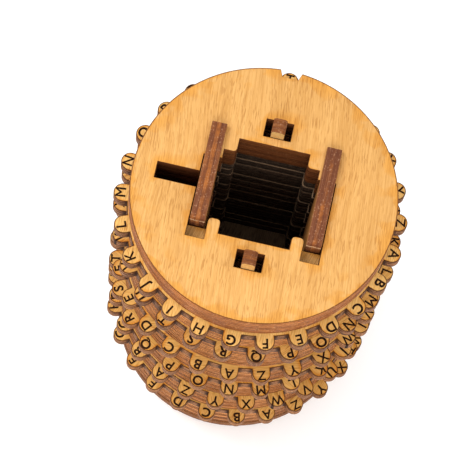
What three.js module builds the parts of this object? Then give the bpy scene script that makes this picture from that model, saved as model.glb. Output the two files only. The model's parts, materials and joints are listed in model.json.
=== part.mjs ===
// A plywood cryptex: six lettered rings turn on a stack of cross-cut formers, and a drawer with a toothed
// rail slides out of the bottom once every ring's gate stands over the rail.
// Millimetres, +Z up. The origin is the centre of the underside, and +Y points at the index notch.
import * as THREE from "three";

// Sheet
const plyThickness = 4;
const collarThickness = 3;

// Overall sizes
const discRadius = 35;
const ringCount = 6;
const tongueCount = 26;

// Rings
const tongueReach = 4; // how far a tongue's tip stands out of the end discs
const tongueWidth = 5;
const valleyRise = 0.3; // how far the letter ply stands out of the end discs between two tongues
const drumInset = 0.15; // the drum is this much smaller in radius than the end discs
const drumWall = 4.45;
const upperPlies = 3; // each ring's lock ply and the two sheets over it
const lowerPlies = [0, 2, 1, 1, 1, 1]; // drum plies under each ring's lock ply, top ring first
const gateWidth = 9.5;
const ringTurns = [0, -2.1, 2.7, 4.4, -0.1, -2.6]; // how far each ring stands off the notch, top ring first

// Well, slots and windows
const wellWidth = 18.8; // narrow arm of the cross, along X
const wellDepth = 26.6; // the same arm, along Y
const armWidth = 25.4; // wide arm of the cross, along X, from side slot to side slot
const armDepth = 19;
const wellCorner = 1; // rounding of the cross's inner corners
const cornerShare = 0.45; // most of a short side that one rounding may take
const slotBack = 7; // Y of the end that the side plates bear on
const slotFront = -15.6; // Y of the end left open to slip the heads in
const tieWall = 2.6; // wood between the well and a window, before the windows are set back
const windowSetBack = 0.35; // both windows lie this far towards -Y
const tieSetBack = 0.6; // both tie plates stand this far towards -Y
const notchWidth = 5.8;
const notchInnerWidth = 4.2;
const notchDepth = 2.1;

// Side and tie plates
const plateWidth = 17.9; // stem of a side plate, along Y
const headHeight = 2;
const headOverhang = 9.3; // how far a head hooks over the disc past its stem
const headCorner = 0.6;
const tieWidth = 6.6;
const tipWidth = 3.6;
const tipHeight = 4;
const tipChamfer = 0.7;

// Core
const collarInset = 0.5;
const coreWall = 1.6; // wood left between a plate's slot and the outside of a spacer
const slotEndWall = 1.2; // wood left outside the end of the rail's slot

// Drawer
const capInset = 1.2; // the cap is this much smaller in radius than the end discs
const roofHeight = 50; // top of the drawer's roof
const toothHeight = 3.2;
const toothLift = 0.5; // from the top of a lock ply to the tooth above it
const railTopLift = 1.1; // spine left above the top tooth
const spineInset = 1; // from the outside of a spacer in to the outside of the spine
const travel = 96;

// Clearances
const glueLine = 0.05;
const axialGap = 0.3; // rings and cap to the fixed pieces
const ringGaps = [0.5, 1.2, 0.4, 0.2, 0.2]; // from one ring to the next, the top gap first
const boreGap = 0.4; // ring bore to core
const lockGap = 0.5; // lock ply's bore to its spacer
const plateGap = 0.3; // side and tie plates in their slots
const slotPlay = 0.9; // side plates across their slots, where they are slipped in and hooked
const outerPlay = 0.25; // the part of that play on the outer side
const windowPlay = 0.85; // tie plates across their windows
const railGap = 0.2; // rail in its slot, each side
const drawerGap = 0.3; // drawer in the well, each side
const toothGap = 0.5; // tooth tip to the end of its slot, and the gate past that end

// Facets
const discFacets = 52;
const boreFacets = 26; // bores, core and spacers
const tipFacets = 4;
const cornerFacets = 2;

// Levels
const capTop = plyThickness;
const baseBottom = capTop + axialGap;
const baseTop = baseBottom + plyThickness;
const plyStep = plyThickness + glueLine;
const ringHeights = lowerPlies.map((lower) => (lower + upperPlies) * plyStep - glueLine);
const lowestRing = baseTop + axialGap;
const ringBottom = (ring) =>
  ring === ringCount - 1 ? lowestRing : ringBottom(ring + 1) + ringHeights[ring + 1] + ringGaps[ring];
const ringsTop = ringBottom(0) + ringHeights[0];
const collarBottom = ringsTop + axialGap;
const backingBottom = collarBottom + collarThickness + glueLine;
const topBottom = backingBottom + plyStep;
const deck = topBottom + plyThickness;
const lockBottom = (ring) => ringBottom(ring) + lowerPlies[ring] * plyStep;
const lockTop = (ring) => lockBottom(ring) + plyThickness;

// Radii
const tipRadius = discRadius + tongueReach;
const valleyRadius = discRadius + valleyRise;
const drumRadius = discRadius - drumInset;
const boreRadius = drumRadius - drumWall;
const coreRadius = boreRadius - boreGap;
const collarRadius = discRadius - collarInset;

// Side plates stand against the outer arms of the cross.
const slotInner = armWidth / 2;
const slotOuter = slotInner + plyThickness + slotPlay;
const shortSide = Math.min(slotInner - wellWidth / 2, wellDepth - armDepth);
const armCorner = Math.min(wellCorner, cornerShare * shortSide);
const plateOuter = slotOuter - outerPlay;
const plateInner = plateOuter - plyThickness;
const stemBack = slotBack - plateGap;
const stemFront = stemBack - plateWidth;
const snugSlot = { inner: slotInner, outer: slotOuter, front: stemFront - plateGap, back: slotBack };
const openSlot = { ...snugSlot, front: slotFront };

// Tie plates stand in their windows, in front of the well and behind it.
const windowWidth = tieWidth + 2 * plateGap;
const windowDepth = plyThickness + windowPlay;
const tieCentre = wellDepth / 2 + tieWall + windowDepth / 2;
const tieReach = tieCentre + tieSetBack + plyThickness / 2 + plateGap;

// Rail and the rings' locks
const railHalf = plyThickness / 2;
const railSlotHalf = railHalf + railGap;
const railSlotEnd = coreRadius - slotEndWall;
const toothTip = railSlotEnd - toothGap;
const gateEnd = railSlotEnd + toothGap;
const plateCorner = Math.hypot(slotOuter, snugSlot.front);
const tieCorner = Math.hypot(windowWidth / 2, tieReach);
const spacerRadius = Math.max(plateCorner, tieCorner) + coreWall;
const lockBore = spacerRadius + lockGap;
const railSpine = spacerRadius - spineInset;
const railTop = lockTop(0) + toothLift + toothHeight + railTopLift;

// Drawer box
const boxHalfX = wellWidth / 2 - drawerGap;
const boxHalfY = wellDepth / 2 - drawerGap;
const boxFloor = capTop + glueLine;
const wallTop = roofHeight - plyThickness - glueLine;

const wood = {
  face: { color: 0xf0be7c, roughness: 0.62 },
  letterPly: { color: 0xe6ab66, roughness: 0.6 },
  drum: { color: 0xa06a48, roughness: 0.7 },
  core: { color: 0x8c5b3c, roughness: 0.75 },
  plate: { color: 0xb98a5c, roughness: 0.68 },
};

const cryptex = new THREE.Group();
const barrel = new THREE.Group();
const drawer = new THREE.Group();
cryptex.add(barrel, drawer);

function addNode(group, name, geometry, finish) {
  const mesh = new THREE.Mesh(geometry, new THREE.MeshStandardMaterial({ metalness: 0, ...finish }));
  mesh.name = name;
  group.add(mesh);
  return mesh;
}

function sheet(outline, holes, thickness = plyThickness) {
  const shape = new THREE.Shape(outline);
  shape.holes = holes.map((hole) => new THREE.Path(hole));
  return new THREE.ExtrudeGeometry(shape, { depth: thickness, bevelEnabled: false });
}

function polar(radius, angle) {
  return new THREE.Vector2(radius * Math.cos(angle), radius * Math.sin(angle));
}

function circle(radius, facets) {
  return Array.from({ length: facets }, (_, i) => polar(radius, ((i + 0.5) * 2 * Math.PI) / facets));
}

function rectangle(lowX, lowY, highX, highY) {
  return rounded([[lowX, lowY], [highX, lowY], [highX, highY], [lowX, highY]]);
}

// A closed outline from square corners [x, y] or [x, y, radius]; those with a radius become arcs.
function rounded(corners) {
  return corners.flatMap(([x, y, radius = 0], i) => {
    const corner = new THREE.Vector2(x, y);
    if (radius === 0) return [corner];
    const before = new THREE.Vector2(...corners.at(i - 1)).sub(corner).setLength(radius);
    const after = new THREE.Vector2(...corners[(i + 1) % corners.length]).sub(corner).setLength(radius);
    return Array.from({ length: cornerFacets + 1 }, (_, step) => {
      const turn = ((step / cornerFacets) * Math.PI) / 2;
      const point = corner.clone().addScaledVector(before, 1 - Math.sin(turn));
      return point.addScaledVector(after, 1 - Math.cos(turn));
    });
  });
}

// The cross, the two side slots and the rail's slot run into one another as one opening.
function crossOpening(slot, railSlotLength) {
  const wide = armDepth / 2;
  const tall = wellDepth / 2;
  const narrow = wellWidth / 2;
  const half = (side) => [
    [side * slot.outer, slot.front],
    [side * slot.inner, slot.front],
    [side * slot.inner, -wide, armCorner],
    [side * narrow, -wide, armCorner],
    [side * narrow, -tall],
  ];
  const farHalf = (side) => [
    [side * narrow, tall],
    [side * narrow, wide, armCorner],
    [side * slot.inner, wide],
    [side * slot.inner, slot.back],
    [side * slot.outer, slot.back],
  ];
  return rounded([
    [-railSlotLength, -railSlotHalf],
    [-slot.outer, -railSlotHalf],
    ...half(-1),
    ...half(1).reverse(),
    ...farHalf(1).reverse(),
    ...farHalf(-1),
    [-slot.outer, railSlotHalf],
    [-railSlotLength, railSlotHalf],
  ]);
}

function tieSlots(halfWidth, depth, shift) {
  return [-1, 1].map((side) => {
    const centre = side * tieCentre + shift;
    return rectangle(-halfWidth, centre - depth / 2, halfWidth, centre + depth / 2);
  });
}

const snugTies = tieSlots(tieWidth / 2 + plateGap, plyThickness + 2 * plateGap, -tieSetBack);
const windows = tieSlots(windowWidth / 2, windowDepth, -windowSetBack);

// End discs
function notchedDisc() {
  const rimHalf = Math.asin(notchWidth / 2 / discRadius);
  const facets = discFacets - 2;
  const start = Math.PI / 2 + rimHalf;
  const sweep = 2 * Math.PI - 2 * rimHalf;
  const rim = Array.from({ length: facets + 1 }, (_, i) => polar(discRadius, start + (sweep * i) / facets));
  const floor = discRadius - notchDepth;
  return [
    ...rim,
    new THREE.Vector2(notchInnerWidth / 2, floor),
    new THREE.Vector2(-notchInnerWidth / 2, floor),
  ];
}

function buildEnds() {
  const discs = [
    ["top_disc", notchedDisc(), openSlot, windows, topBottom, plyThickness],
    ["top_disc_backing", notchedDisc(), snugSlot, windows, backingBottom, plyThickness],
    ["top_collar", circle(collarRadius, discFacets), snugSlot, snugTies, collarBottom, collarThickness],
    ["base_disc", circle(discRadius, discFacets), snugSlot, snugTies, baseBottom, plyThickness],
  ];
  for (const [name, outline, slot, ties, level, thickness] of discs) {
    const geometry = sheet(outline, [crossOpening(slot, railSlotEnd), ...ties], thickness);
    addNode(barrel, name, geometry, wood.face).position.z = level;
  }
}

// Fixed core: a spacer inside each lock ply, and a former between one spacer and the next.
function buildCore() {
  const opening = crossOpening(snugSlot, railSlotEnd);
  const spacerOpening = openSideSlot(opening);
  let floor = baseTop;
  for (let ring = ringCount - 1; ring >= 0; ring -= 1) {
    addFormer(ring + 1, floor, lockBottom(ring) - axialGap, opening);
    const spacer = sheet(spacerOpening, snugTies, plyThickness + 2 * axialGap);
    addNode(barrel, `core_spacer_${ring + 1}`, spacer, wood.core).position.z = lockBottom(ring) - axialGap;
    floor = lockTop(ring) + axialGap;
  }
  addFormer(0, floor, collarBottom, opening);
}

function addFormer(index, low, high, opening) {
  const geometry = sheet(circle(coreRadius, boreFacets), [opening, ...snugTies], high - low - 2 * glueLine);
  const mesh = addNode(barrel, `core_former_${index}`, geometry, wood.core);
  mesh.position.z = low + glueLine;
}

// A spacer is a disc that the rail's slot cuts right through, so its outline runs in along the slot,
// round the cross and out again.
function openSideSlot(opening) {
  const halfAngle = Math.asin(railSlotHalf / spacerRadius);
  const start = -Math.PI + halfAngle;
  const sweep = 2 * Math.PI - 2 * halfAngle;
  const rim = Array.from({ length: boreFacets + 1 }, (_, i) =>
    polar(spacerRadius, start + (sweep * i) / boreFacets),
  );
  return [...rim, ...opening.slice(1, -1).reverse()];
}

// Side plates: a stem through every disc, with a hooked head on top. The left one straddles the rail.
function sidePlate(slitTop) {
  const headBack = stemBack + headOverhang;
  const top = deck + headHeight;
  const seat = deck + glueLine;
  const slit = [
    [-railSlotHalf, baseBottom],
    [-railSlotHalf, slitTop],
    [railSlotHalf, slitTop],
    [railSlotHalf, baseBottom],
  ];
  return sheet(
    rounded([
      [stemFront, baseBottom],
      ...(slitTop > baseBottom ? slit : []),
      [stemBack, baseBottom],
      [stemBack, seat],
      [headBack, seat],
      [headBack, top, headCorner],
      [stemFront, top, headCorner],
    ]),
    [],
  );
}

function buildSidePlates() {
  const plates = [
    ["left_side_plate", -plateOuter, railTop + axialGap],
    ["right_side_plate", plateInner, baseBottom],
  ];
  for (const [name, x, slitTop] of plates) {
    const mesh = addNode(barrel, name, sidePlate(slitTop), wood.plate);
    mesh.rotation.set(Math.PI / 2, Math.PI / 2, 0);
    mesh.position.x = x;
  }
}

// Tie plates: narrower strips front and back, each ending in a tip that shows in its window.
function buildTies() {
  const shoulder = backingBottom - glueLine;
  const top = deck + tipHeight;
  const outline = rounded([
    [-tieWidth / 2, baseBottom],
    [tieWidth / 2, baseBottom],
    [tieWidth / 2, shoulder],
    [tipWidth / 2, shoulder],
    [tipWidth / 2, top - tipChamfer],
    [tipWidth / 2 - tipChamfer, top],
    [tipChamfer - tipWidth / 2, top],
    [-tipWidth / 2, top - tipChamfer],
    [-tipWidth / 2, shoulder],
    [-tieWidth / 2, shoulder],
  ]);
  for (const [name, side] of [["front_tie_plate", -1], ["back_tie_plate", 1]]) {
    const mesh = addNode(barrel, name, sheet(outline, []), wood.plate);
    mesh.rotation.x = Math.PI / 2;
    mesh.position.y = side * tieCentre - tieSetBack + plyThickness / 2;
  }
}

// One ring: a letter ply with a tongue for each letter, a drum ply, the lock ply, and the drum plies under it.
function tongueOutline() {
  const half = tongueWidth / 2;
  const foot = Math.sqrt(valleyRadius ** 2 - half ** 2);
  const tongue = [new THREE.Vector2(foot, -half)];
  for (let i = 0; i <= tipFacets; i += 1) {
    const tip = polar(half, (i / tipFacets - 0.5) * Math.PI);
    tongue.push(tip.add(new THREE.Vector2(tipRadius - half, 0)));
  }
  tongue.push(new THREE.Vector2(foot, half));
  const outline = [];
  for (let i = 0; i < tongueCount; i += 1) {
    const turn = Math.PI / 2 + (i * 2 * Math.PI) / tongueCount;
    outline.push(...tongue.map((point) => point.clone().rotateAround(new THREE.Vector2(), turn)));
  }
  return outline;
}

// The lock's bore, with the gate cut outwards towards -X.
function gateOutline() {
  const gateHalf = gateWidth / 2;
  const halfAngle = Math.asin(gateHalf / lockBore);
  const sweep = 2 * Math.PI - 2 * halfAngle;
  const bore = Array.from({ length: boreFacets + 1 }, (_, i) =>
    polar(lockBore, -Math.PI + halfAngle + (sweep * i) / boreFacets),
  );
  return [
    ...bore,
    new THREE.Vector2(-gateEnd, gateHalf),
    new THREE.Vector2(-gateEnd, -gateHalf),
  ];
}

function buildRing(index) {
  const ring = new THREE.Group();
  ring.rotation.z = THREE.MathUtils.degToRad(ringTurns[index]);
  ring.position.z = ringBottom(index);
  cryptex.add(ring);
  const drum = circle(drumRadius, discFacets);
  const bore = circle(boreRadius, boreFacets);
  const lowerNames = ["lowest_drum_ply", "lower_drum_ply"].slice(2 - lowerPlies[index]);
  const plies = [
    ...lowerNames.map((name) => [name, drum, bore, wood.drum]),
    ["lock_ply", drum, gateOutline(), wood.drum],
    ["upper_drum_ply", drum, bore, wood.drum],
    ["letter_ply", tongueOutline(), bore, wood.letterPly],
  ];
  plies.forEach(([name, outline, hole, finish], level) => {
    const mesh = addNode(ring, `${name}_${index + 1}`, sheet(outline, [hole]), finish);
    mesh.position.z = level * plyStep;
  });
}

// Drawer: the cap that the cryptex stands on, a box open towards +X, and the toothed rail.
function buildDrawer() {
  const cap = addNode(drawer, "drawer_cap", sheet(circle(discRadius - capInset, discFacets), []), wood.face);
  cap.position.z = capTop - plyThickness;

  const roofOutline = rectangle(-boxHalfX, -boxHalfY, boxHalfX, boxHalfY);
  addNode(drawer, "drawer_roof", sheet(roofOutline, []), wood.face).position.z = roofHeight - plyThickness;

  const wallOutline = rectangle(-boxHalfX, boxFloor, boxHalfX, wallTop);
  const walls = [
    ["drawer_front_wall", plyThickness - boxHalfY],
    ["drawer_back_wall", boxHalfY],
  ];
  for (const [name, y] of walls) {
    const wall = addNode(drawer, name, sheet(wallOutline, []), wood.core);
    wall.rotation.x = Math.PI / 2;
    wall.position.y = y;
  }

  const sideHalf = boxHalfY - plyThickness - glueLine;
  const side = sheet(rectangle(-sideHalf, boxFloor, sideHalf, wallTop), []);
  const sideWall = addNode(drawer, "drawer_side_wall", side, wood.core);
  sideWall.rotation.set(Math.PI / 2, Math.PI / 2, 0);
  sideWall.position.x = -boxHalfX;

  const rail = addNode(drawer, "tooth_rail", sheet(railOutline(), []), wood.plate);
  rail.rotation.x = Math.PI / 2;
  rail.position.y = railHalf;
}

function railOutline() {
  const neck = -plateInner + axialGap; // inner edge of the spine above the drawer
  const teeth = [];
  for (let ring = 0; ring < ringCount; ring += 1) {
    const low = lockTop(ring) + toothLift;
    teeth.push([-railSpine, low + toothHeight], [-toothTip, low + toothHeight], [-toothTip, low], [-railSpine, low]);
  }
  return rounded([
    [-boxHalfX - glueLine, boxFloor],
    [-boxHalfX - glueLine, wallTop],
    [neck, wallTop],
    [neck, railTop],
    [-railSpine, railTop],
    ...teeth,
    [-railSpine, boxFloor],
  ]);
}

buildEnds();
buildCore();
buildSidePlates();
buildTies();
for (let index = 0; index < ringCount; index += 1) buildRing(index);
buildDrawer();

cryptex.userData.drawerTravel = travel;

export default cryptex;
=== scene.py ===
import json
import math

import bmesh
import bpy
from mathutils import Euler, Matrix, Vector
from mathutils.geometry import tessellate_polygon


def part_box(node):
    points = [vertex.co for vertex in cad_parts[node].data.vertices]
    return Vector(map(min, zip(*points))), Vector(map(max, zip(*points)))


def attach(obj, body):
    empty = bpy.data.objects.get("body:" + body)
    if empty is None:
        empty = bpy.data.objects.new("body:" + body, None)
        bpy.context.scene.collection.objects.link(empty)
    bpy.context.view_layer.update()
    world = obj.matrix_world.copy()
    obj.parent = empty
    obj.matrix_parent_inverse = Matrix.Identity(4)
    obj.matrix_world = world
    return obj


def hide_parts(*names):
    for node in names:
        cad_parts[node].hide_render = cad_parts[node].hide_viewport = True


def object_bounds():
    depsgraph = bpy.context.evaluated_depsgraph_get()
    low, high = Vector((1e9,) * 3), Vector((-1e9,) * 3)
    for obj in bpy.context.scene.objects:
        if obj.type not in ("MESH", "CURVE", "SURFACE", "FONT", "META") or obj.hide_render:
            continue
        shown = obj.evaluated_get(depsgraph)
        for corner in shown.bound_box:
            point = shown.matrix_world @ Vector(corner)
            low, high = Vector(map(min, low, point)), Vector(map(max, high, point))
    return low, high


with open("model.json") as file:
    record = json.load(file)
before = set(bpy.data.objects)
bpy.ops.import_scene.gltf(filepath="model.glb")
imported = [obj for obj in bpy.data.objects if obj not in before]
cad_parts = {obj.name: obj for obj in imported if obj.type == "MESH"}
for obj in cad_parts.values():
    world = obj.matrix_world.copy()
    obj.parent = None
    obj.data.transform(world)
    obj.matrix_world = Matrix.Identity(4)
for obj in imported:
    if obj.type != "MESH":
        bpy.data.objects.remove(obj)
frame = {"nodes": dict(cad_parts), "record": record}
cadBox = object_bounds()
mm = 0.001

# ------- camera, floor and lights
cameraView = {
    "place": (-0.0051, -0.2052, 0.7160),
    "tilt": 17.475,
    "lean": -4.057,
    "turn": 13.5,
    "lens": 188.6,
}

studio = {
    "floorSize": 6.0,
    "floorColor": (0.93, 0.93, 0.93),
    "skyColor": (1.0, 1.0, 1.0),
    "floorGlow": 0.12,
    "skyStrength": 1.0,
    "lamps": [
        # name, place, size, watts
        ("keyLamp", (-0.6, 0.15, 1.0), 0.45, 5.0),
        ("fillLamp", (0.1, -0.9, 0.7), 0.8, 6.0),
    ],
}


def placeCamera():
    data = bpy.data.cameras.new("camera")
    data.lens = cameraView["lens"]
    data.clip_start = 0.05
    data.clip_end = 20
    camera = bpy.data.objects.new("camera", data)
    bpy.context.collection.objects.link(camera)
    camera.location = cameraView["place"]
    camera.rotation_mode = "YXZ"
    angles = [math.radians(cameraView[key]) for key in ("tilt", "lean", "turn")]
    camera.rotation_euler = Euler(angles, "YXZ")
    bpy.context.scene.camera = camera
    bpy.context.scene.view_settings.view_transform = "Standard"


def lightStudio():
    world = bpy.data.worlds.new("studioWorld")
    bpy.context.scene.world = world
    world.use_nodes = True
    sky = world.node_tree.nodes["Background"]
    sky.inputs["Color"].default_value = (*studio["skyColor"], 1)
    sky.inputs["Strength"].default_value = studio["skyStrength"]
    aim = Vector((0, 0, cadBox[1].z * 0.8))
    for name, place, size, watts in studio["lamps"]:
        data = bpy.data.lights.new(name, "AREA")
        data.size = size
        data.energy = watts
        lamp = bpy.data.objects.new(name, data)
        bpy.context.collection.objects.link(lamp)
        lamp.location = place
        lamp.rotation_mode = "QUATERNION"
        lamp.rotation_quaternion = (aim - Vector(place)).to_track_quat("-Z", "Y")


def layFloor():
    half = studio["floorSize"] / 2
    mesh = bpy.data.meshes.new("floor")
    corners = [(-half, -half, 0), (half, -half, 0), (half, half, 0), (-half, half, 0)]
    mesh.from_pydata(corners, [], [(0, 1, 2, 3)])
    floor = bpy.data.objects.new("floor", mesh)
    bpy.context.collection.objects.link(floor)
    material = bpy.data.materials.new("floorPaper")
    material.use_nodes = True
    shader = material.node_tree.nodes["Principled BSDF"]
    shader.inputs["Base Color"].default_value = (*studio["floorColor"], 1)
    shader.inputs["Roughness"].default_value = 0.9
    shader.inputs["Emission Color"].default_value = (1, 1, 1, 1)
    shader.inputs["Emission Strength"].default_value = studio["floorGlow"]
    mesh.materials.append(material)


placeCamera()
lightStudio()
layFloor()
print("camera and studio are set")


# ------- shader helpers
def addNode(tree, kind, inputs=None, **settings):
    node = tree.nodes.new(kind)
    for key, value in settings.items():
        setattr(node, key, value)
    for key, value in (inputs or {}).items():
        if isinstance(value, bpy.types.NodeSocket):
            tree.links.new(value, node.inputs[key])
        else:
            node.inputs[key].default_value = value
    return node


def maths(tree, operation, first, second=0.0, third=0.0, clamp=False):
    kind = "ShaderNodeMath"
    node = addNode(tree, kind, {0: first, 1: second, 2: third}, operation=operation, use_clamp=clamp)
    return node.outputs[0]


def vectorMaths(tree, operation, first, second=(0.0, 0.0, 0.0)):
    return addNode(tree, "ShaderNodeVectorMath", {0: first, 1: second}, operation=operation).outputs[0]


def band(tree, value, low, high, start=0.0, end=1.0):
    inputs = {"Value": value, "From Min": low, "From Max": high, "To Min": start, "To Max": end}
    node = addNode(tree, "ShaderNodeMapRange", inputs, interpolation_type="SMOOTHSTEP")
    return node.outputs["Result"]


def mixColor(tree, factor, first, second, blend="MIX"):
    node = addNode(tree, "ShaderNodeMix", data_type="RGBA", blend_type=blend)
    for socket, value in ((node.inputs[0], factor), (node.inputs[6], first), (node.inputs[7], second)):
        if isinstance(value, bpy.types.NodeSocket):
            tree.links.new(value, socket)
        else:
            socket.default_value = value if isinstance(value, float) else (*value, 1)[:4]
    return node.outputs[2]


def noise(tree, vector, scale, detail=2.0, roughness=0.5, stretch=(1, 1, 1)):
    scaled = vectorMaths(tree, "MULTIPLY", vector, stretch)
    inputs = {"Vector": scaled, "Scale": scale, "Detail": detail, "Roughness": roughness}
    return addNode(tree, "ShaderNodeTexNoise", inputs).outputs["Fac"]


def attribute(tree, name):
    return addNode(tree, "ShaderNodeAttribute", attribute_name=name).outputs["Fac"]


def newGroup(name, inputs, outputs):
    group = bpy.data.node_groups.new(name, "ShaderNodeTree")
    for label, kind, default in inputs:
        socket = group.interface.new_socket(label, in_out="INPUT", socket_type=kind)
        if default is not None:
            socket.default_value = default
    for label, kind in outputs:
        group.interface.new_socket(label, in_out="OUTPUT", socket_type=kind)
    return group, group.nodes.new("NodeGroupInput").outputs, group.nodes.new("NodeGroupOutput").inputs


def useGroup(tree, group, inputs):
    return addNode(tree, "ShaderNodeGroup", inputs, node_tree=group).outputs


grainLook = {  # each pattern's scale is across the grain, along it and through the sheet
    "wanderScale": (0.05, 0.022, 0.1),
    "wander": 5.0,  # how far the fibres sway, in millimetres
    "bandScale": (0.22, 0.012, 0.3),
    "bandShare": 0.28,
    "fibreScale": (3.6, 0.085, 1.0),
    "fibreShare": 0.72,
    "contrast": (0.34, 0.66),
    "fleckScale": (3.9, 0.33, 1.0),
    "fleckRange": (0.545, 0.64),
    "fleckDepth": 0.6,
    "patchScale": 0.11,
    "patchRange": (0.35, 0.65),
    "leastPatch": 0.35,
}


# Birch face veneer. Vector is in millimetres with the grain along Y: broad soft bands, fine fibres, and short
# darker flecks that come and go over the sheet.
def makeBirchGrain():
    inputs = [
        ("Vector", "NodeSocketVector", None),
        ("Light", "NodeSocketColor", (1, 1, 1, 1)),
        ("Dark", "NodeSocketColor", (0, 0, 0, 1)),
        ("Fleck", "NodeSocketColor", (0, 0, 0, 1)),
        ("Fleck Strength", "NodeSocketFloat", 0.5),
    ]
    outputs = [("Color", "NodeSocketColor"), ("Height", "NodeSocketFloat")]
    group, given, result = newGroup("birchGrain", inputs, outputs)
    look = grainLook
    wander = noise(group, given["Vector"], 1.0, 1.0, 0.5, look["wanderScale"])
    sway = maths(group, "MULTIPLY_ADD", wander, look["wander"], -look["wander"] / 2)
    aside = addNode(group, "ShaderNodeCombineXYZ", {"X": sway}).outputs[0]
    place = vectorMaths(group, "ADD", given["Vector"], aside)
    bands = noise(group, place, 1.0, 2.0, 0.5, look["bandScale"])
    fibre = noise(group, place, 1.0, 3.0, 0.65, look["fibreScale"])
    flecks = noise(group, place, 1.0, 1.0, 0.5, look["fleckScale"])
    fleckMask = band(group, flecks, *look["fleckRange"])
    patchNoise = noise(group, place, look["patchScale"], 2.0)
    patch = band(group, patchNoise, *look["patchRange"], look["leastPatch"], 1.0)
    bandPart = maths(group, "MULTIPLY", bands, look["bandShare"])
    mixed = maths(group, "MULTIPLY_ADD", fibre, look["fibreShare"], bandPart)
    wood = mixColor(group, band(group, mixed, *look["contrast"]), given["Dark"], given["Light"])
    strength = maths(group, "MULTIPLY", maths(group, "MULTIPLY", fleckMask, given["Fleck Strength"]), patch)
    group.links.new(mixColor(group, strength, wood, given["Fleck"]), result["Color"])
    sunk = maths(group, "MULTIPLY", fleckMask, look["fleckDepth"])
    group.links.new(maths(group, "SUBTRACT", fibre, sunk), result["Height"])
    return group


edgeLook = {  # widths and places are shares of the sheet's thickness; noise scales are per millimetre
    "waver": 0.10,
    "waverScale": 0.35,
    "coreRange": (0.14, 0.18),
    "gluePlace": 0.165,
    "glueRange": (0.03, 0.08),
    "arrisRange": (0.430, 0.47),
    "arrisStrength": 0.8,
    "lineScale": 19.0,
    "lineDrift": (0.16, 0.16, 0.02),
    "paleRange": (0.36, 0.44),
    "paleStrength": 0.45,
    "darkRange": (0.47, 0.58),
    "blotchWeight": 1.9,
    "shadeWeight": 0.5,
    "toneOffset": -0.85,
    "coreTone": 0.30,
    "toneRange": (0.05, 0.75),
    "sootScale": 0.8,
    "sootRange": (0.48, 0.66),
    "scuffGlintScale": 1.9,
    "scuffGlintRange": (0.60, 0.68),
}


# Laser-cut edge: three veneers between dark glue lines, fine streaks along the cut, soot in patches, and pale
# specks that are partly scuffs and partly painted glints. Shade runs from 0, sooty, to 1, clean orange.
def makeCutEdge():
    inputs = [
        ("Vector", "NodeSocketVector", None),
        ("Across", "NodeSocketFloat", 0.5),
        ("Shade", "NodeSocketFloat", 0.5),
        ("Clean", "NodeSocketColor", (1, 1, 1, 1)),
        ("Smoked", "NodeSocketColor", (1, 1, 1, 1)),
        ("Arris", "NodeSocketColor", (0, 0, 0, 1)),
        ("Soot", "NodeSocketColor", (0, 0, 0, 1)),
        ("Soot Amount", "NodeSocketFloat", 0.4),
        ("Line Strength", "NodeSocketFloat", 0.6),
        ("Scuff Glint", "NodeSocketColor", (1, 1, 1, 1)),
        ("Scuff Glint Amount", "NodeSocketFloat", 0.3),
        ("Blotch Scale", "NodeSocketFloat", 0.45),
    ]
    outputs = [("Color", "NodeSocketColor"), ("Height", "NodeSocketFloat")]
    group, given, result = newGroup("cutEdge", inputs, outputs)
    look = edgeLook
    waverNoise = noise(group, given["Vector"], look["waverScale"], 2.0)
    waver = maths(group, "MULTIPLY_ADD", waverNoise, look["waver"], -look["waver"] / 2)
    across = maths(group, "ADD", given["Across"], waver)
    offCentre = maths(group, "ABSOLUTE", maths(group, "SUBTRACT", across, 0.5))
    core = band(group, offCentre, *look["coreRange"], 1.0, 0.0)
    offGlue = maths(group, "ABSOLUTE", maths(group, "SUBTRACT", offCentre, look["gluePlace"]))
    glue = band(group, offGlue, *look["glueRange"], 1.0, 0.0)
    straightOff = maths(group, "ABSOLUTE", maths(group, "SUBTRACT", given["Across"], 0.5))
    arris = band(group, straightOff, *look["arrisRange"])
    layerPlace = maths(group, "MULTIPLY", across, look["lineScale"])
    layer = addNode(group, "ShaderNodeCombineXYZ", {"X": layerPlace}).outputs[0]
    drift = vectorMaths(group, "MULTIPLY", given["Vector"], look["lineDrift"])
    lines = noise(group, vectorMaths(group, "ADD", layer, drift), 1.0, 2.0, 0.6)
    blotch = noise(group, given["Vector"], given["Blotch Scale"], 4.0, 0.65)
    shading = maths(group, "MULTIPLY_ADD", given["Shade"], look["shadeWeight"], look["toneOffset"])
    tone = maths(group, "MULTIPLY_ADD", blotch, look["blotchWeight"], shading)
    tone = maths(group, "ADD", tone, maths(group, "MULTIPLY", core, look["coreTone"]))
    color = mixColor(group, band(group, tone, *look["toneRange"]), given["Smoked"], given["Clean"])
    pale = band(group, lines, *look["paleRange"], look["paleStrength"], 0.0)
    dark = band(group, lines, *look["darkRange"])
    sootNoise = noise(group, given["Vector"], look["sootScale"], 4.0, 0.65)
    soot = band(group, sootNoise, *look["sootRange"])
    # pale specks: scuffs, and painted highlights where the edge would glint
    scuffGlints = band(group, noise(group, given["Vector"], look["scuffGlintScale"], 2.0, 0.5), *look["scuffGlintRange"])
    layers = [
        (pale, given["Line Strength"], given["Scuff Glint"]),
        (dark, given["Line Strength"], given["Soot"]),
        (glue, given["Line Strength"], given["Soot"]),
        (soot, given["Soot Amount"], given["Soot"]),
        (arris, look["arrisStrength"], given["Arris"]),
        (scuffGlints, given["Scuff Glint Amount"], given["Scuff Glint"]),
    ]
    for mask, amount, paint in layers:
        color = mixColor(group, maths(group, "MULTIPLY", mask, amount), color, paint)
    group.links.new(color, result["Color"])
    group.links.new(maths(group, "SUBTRACT", lines, glue), result["Height"])
    return group


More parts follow.
